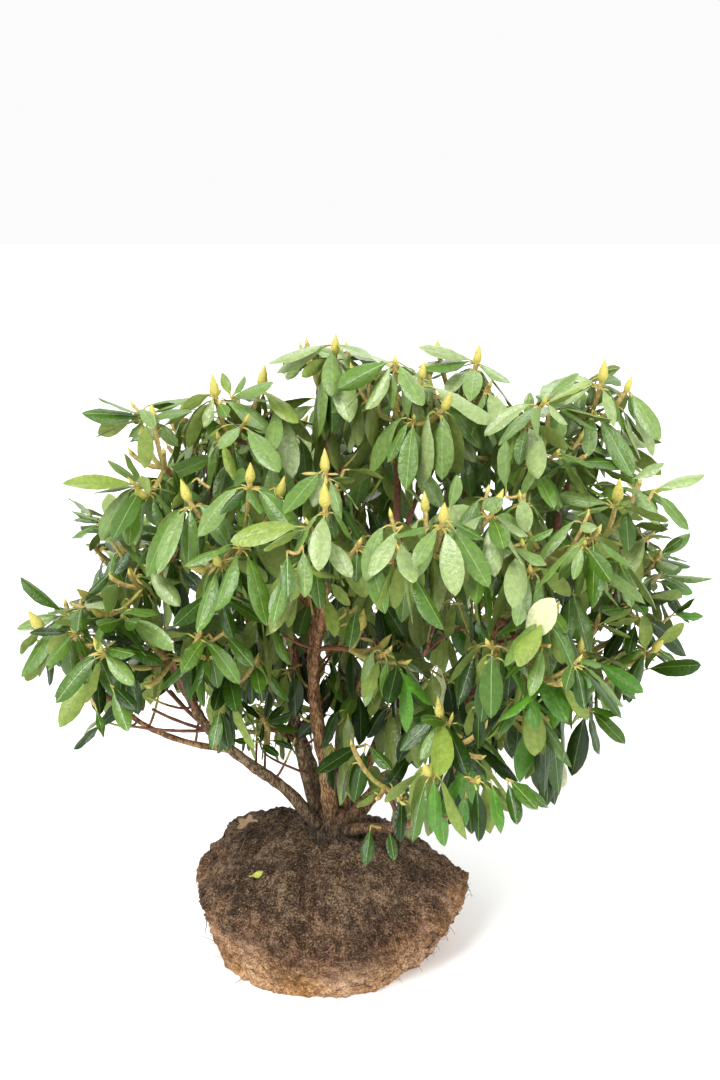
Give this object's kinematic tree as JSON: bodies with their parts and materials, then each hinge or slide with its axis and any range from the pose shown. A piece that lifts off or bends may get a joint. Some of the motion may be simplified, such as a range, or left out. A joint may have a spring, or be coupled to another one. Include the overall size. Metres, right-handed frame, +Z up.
{
  "type": "rhododendron shrub on its root ball",
  "caption": "Broad evergreen rhododendron, bare forked stems under a crown of long leathery leaves in whorls below the buds, standing on the flat underside of a bare root ball.",
  "frame": {"origin": "middle of the flat underside of the root ball, so the whole plant is at or above Z = 0", "axes": "+X to the right and -Y to the front as the plant is seen from the front, +Z up"},
  "size_m": [1.2151, 0.9638, 1.0745],
  "materials": {
    "soil": "matte",
    "bark": "matte",
    "foliage": "satin"
  },
  "bodies": {
    "root": {"root_ball": "soil", "root_collar": "bark", "central_stem": "bark", "left_stem": "bark", "low_left_bough": "bark", "right_stem": "bark", "right_bough": "bark", "low_right_bough": "bark", "back_left_stem": "bark", "back_stem": "bark", "back_right_stem": "bark", "left_outer_bough": "bark", "right_outer_bough": "bark", "front_bough": "bark", "front_right_bough": "bark", "upper_left_bough": "bark", "upper_bough": "bark", "foliage_far_left": "foliage", "foliage_left_spire": "foliage", "foliage_left_side": "foliage", "foliage_left_low": "foliage", "foliage_left_inner": "foliage", "foliage_left_shoulder": "foliage", "foliage_left_front": "foliage", "foliage_top_centre": "foliage", "foliage_top_middle": "foliage", "foliage_top_right": "foliage", "foliage_front_centre": "foliage", "foliage_front_middle": "foliage", "foliage_right_shoulder": "foliage", "foliage_right_peak": "foliage", "foliage_right_front": "foliage", "foliage_right_side": "foliage", "foliage_right_far": "foliage", "foliage_right_low": "foliage", "foliage_right_middle": "foliage", "foliage_low_right_front": "foliage", "foliage_low_right_side": "foliage", "foliage_low_middle": "foliage", "foliage_inner_front": "foliage", "foliage_low_sprig": "foliage", "foliage_back_left_top": "foliage", "foliage_back_left": "foliage", "foliage_back_top": "foliage", "foliage_back_right_top": "foliage", "foliage_back_right": "foliage", "foliage_back_middle_left": "foliage", "foliage_back_middle": "foliage", "foliage_back_low_right": "foliage", "foliage_back_low_left": "foliage"}
  },
  "joints": []
}
